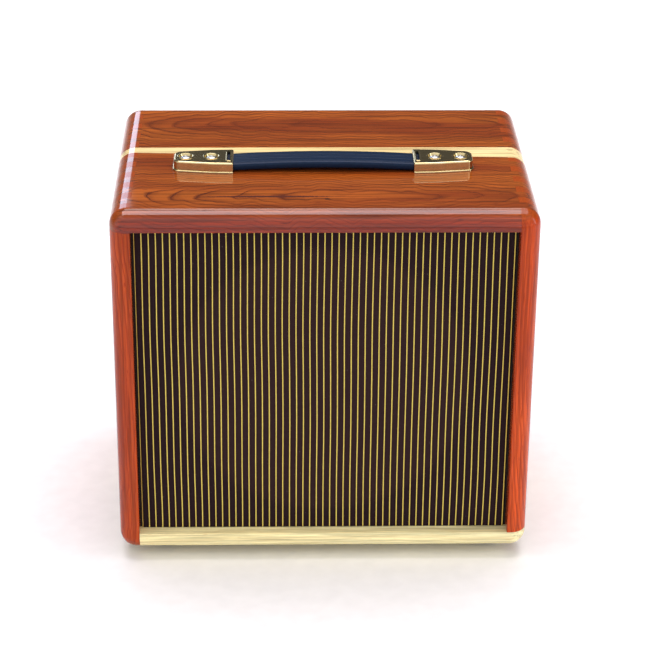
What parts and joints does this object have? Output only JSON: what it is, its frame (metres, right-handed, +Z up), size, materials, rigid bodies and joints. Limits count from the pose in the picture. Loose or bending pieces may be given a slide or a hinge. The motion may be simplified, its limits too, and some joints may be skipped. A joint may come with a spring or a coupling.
{
  "type": "guitar tube amplifier",
  "caption": "Small open-backed tube combo amplifier: finger-jointed cedar cabinet with a pale inlay band, striped grille cloth and a carrying strap with plated end caps.",
  "frame": {"origin": "on the ground under the middle of the cabinet, which stands on its four feet", "axes": "+Z up, +X to the right seen from the front, +Y from the front towards the open back"},
  "size_m": [0.387, 0.28, 0.3685],
  "materials": {
    "cedar": "glossy lacquered red cedar with long grain",
    "maple": "glossy lacquered pale straight grain",
    "black_ply": "plywood painted flat black",
    "pine": "bare planed softwood",
    "grille_cloth": "dark oxblood woven cloth with fine gold stripes",
    "gold_plate": "bright pale gold plating",
    "bright_steel": "bright nickel-plated steel",
    "black_steel": "satin black paint over pressed steel",
    "strap": "dark blue-black moulded strap with fine ridges",
    "foot_rubber": "matt black rubber",
    "cone_paper": "dark grey felted paper",
    "copper": "enamelled copper wire",
    "spider_cloth": "amber resin-stiffened cloth",
    "ferrite": "dark grey sintered ferrite",
    "chassis_steel": "zinc-plated folded steel sheet",
    "panel": "brushed gold-coloured sheet",
    "transformer": "black enamelled laminations and paper-wrapped winding",
    "phenolic": "black moulded phenolic",
    "tube_glass": "clear blown glass",
    "jewel": "faceted red jewel in a bright ring"
  },
  "bodies": {
    "cabinet": {"top_front_plank": "cedar", "top_rear_plank": "cedar", "left_front_plank": "cedar", "left_rear_plank": "cedar", "right_front_plank": "cedar", "right_rear_plank": "cedar", "lower_back_panel": "cedar", "top_inlay_strip": "maple", "left_inlay_strip": "maple", "right_inlay_strip": "maple", "bottom_board": "maple", "baffle_board": "black_ply", "baffle_cleat_left": "pine", "baffle_cleat_right": "pine", "back_panel_batten": "pine", "grille_cloth": "grille_cloth", "handle_cap_left": "gold_plate", "handle_cap_right": "gold_plate", "handle_screw_1": "bright_steel", "handle_screw_2": "bright_steel", "handle_screw_3": "bright_steel", "handle_screw_4": "bright_steel", "input_jack": "bright_steel", "speaker_jack": "bright_steel", "volume_pot": "bright_steel", "tone_pot": "bright_steel", "power_switch_body": "bright_steel", "speaker_top_plate": "bright_steel", "speaker_yoke": "bright_steel", "speaker_basket": "black_steel", "handle_strap_end_left": "strap", "handle_strap_end_right": "strap", "foot_front_left": "foot_rubber", "foot_front_right": "foot_rubber", "foot_rear_left": "foot_rubber", "foot_rear_right": "foot_rubber", "speaker_surround": "cone_paper", "speaker_spider": "spider_cloth", "speaker_magnet": "ferrite", "chassis": "chassis_steel", "control_panel": "panel", "power_transformer": "transformer", "output_transformer": "transformer", "preamp_socket": "phenolic", "power_socket": "phenolic", "rectifier_socket": "phenolic", "fuse_holder": "phenolic", "mains_inlet": "phenolic", "preamp_tube": "tube_glass", "power_tube": "tube_glass", "rectifier_tube": "tube_glass", "pilot_lamp": "jewel"},
    "volume_control": {"volume_knob": "phenolic"},
    "tone_control": {"tone_knob": "phenolic"},
    "switch_lever": {"power_switch_lever": "bright_steel"},
    "fuse_carrier": {"fuse_cap": "phenolic"},
    "cone_assembly": {"speaker_cone": "cone_paper", "speaker_dust_cap": "cone_paper", "voice_coil": "copper"},
    "handle_grip": {"handle_strap_grip": "strap"}
  },
  "joints": [
    {"name": "volume_turn", "type": "hinge", "parent": "cabinet", "child": "volume_control", "pos_m": [0.108, 0.1156, 0.305], "axis": [0, 1, 0], "range_deg": [-150, 150]},
    {"name": "tone_turn", "type": "hinge", "parent": "cabinet", "child": "tone_control", "pos_m": [0.064, 0.1156, 0.305], "axis": [0, 1, 0], "range_deg": [-150, 150]},
    {"name": "power_switch_tilt", "type": "hinge", "parent": "cabinet", "child": "switch_lever", "pos_m": [-0.016, 0.1176, 0.305], "axis": [1, 0, 0], "range_deg": [0, 24]},
    {"name": "fuse_cap_turn", "type": "hinge", "parent": "cabinet", "child": "fuse_carrier", "pos_m": [-0.054, 0.1156, 0.305], "axis": [0, 1, 0], "range_deg": [0, 60]},
    {"name": "cone_travel", "type": "slide", "parent": "cabinet", "child": "cone_assembly", "axis": [0, 1, 0], "range_m": [-0.003, 0.003], "stiffness_N_per_m": 3000},
    {"name": "handle_lift", "type": "slide", "parent": "cabinet", "child": "handle_grip", "axis": [0, 0, 1], "range_m": [0, 0.025], "stiffness_N_per_m": 200, "deforming": ["handle_strap_end_left", "handle_strap_end_right"]}
  ]
}
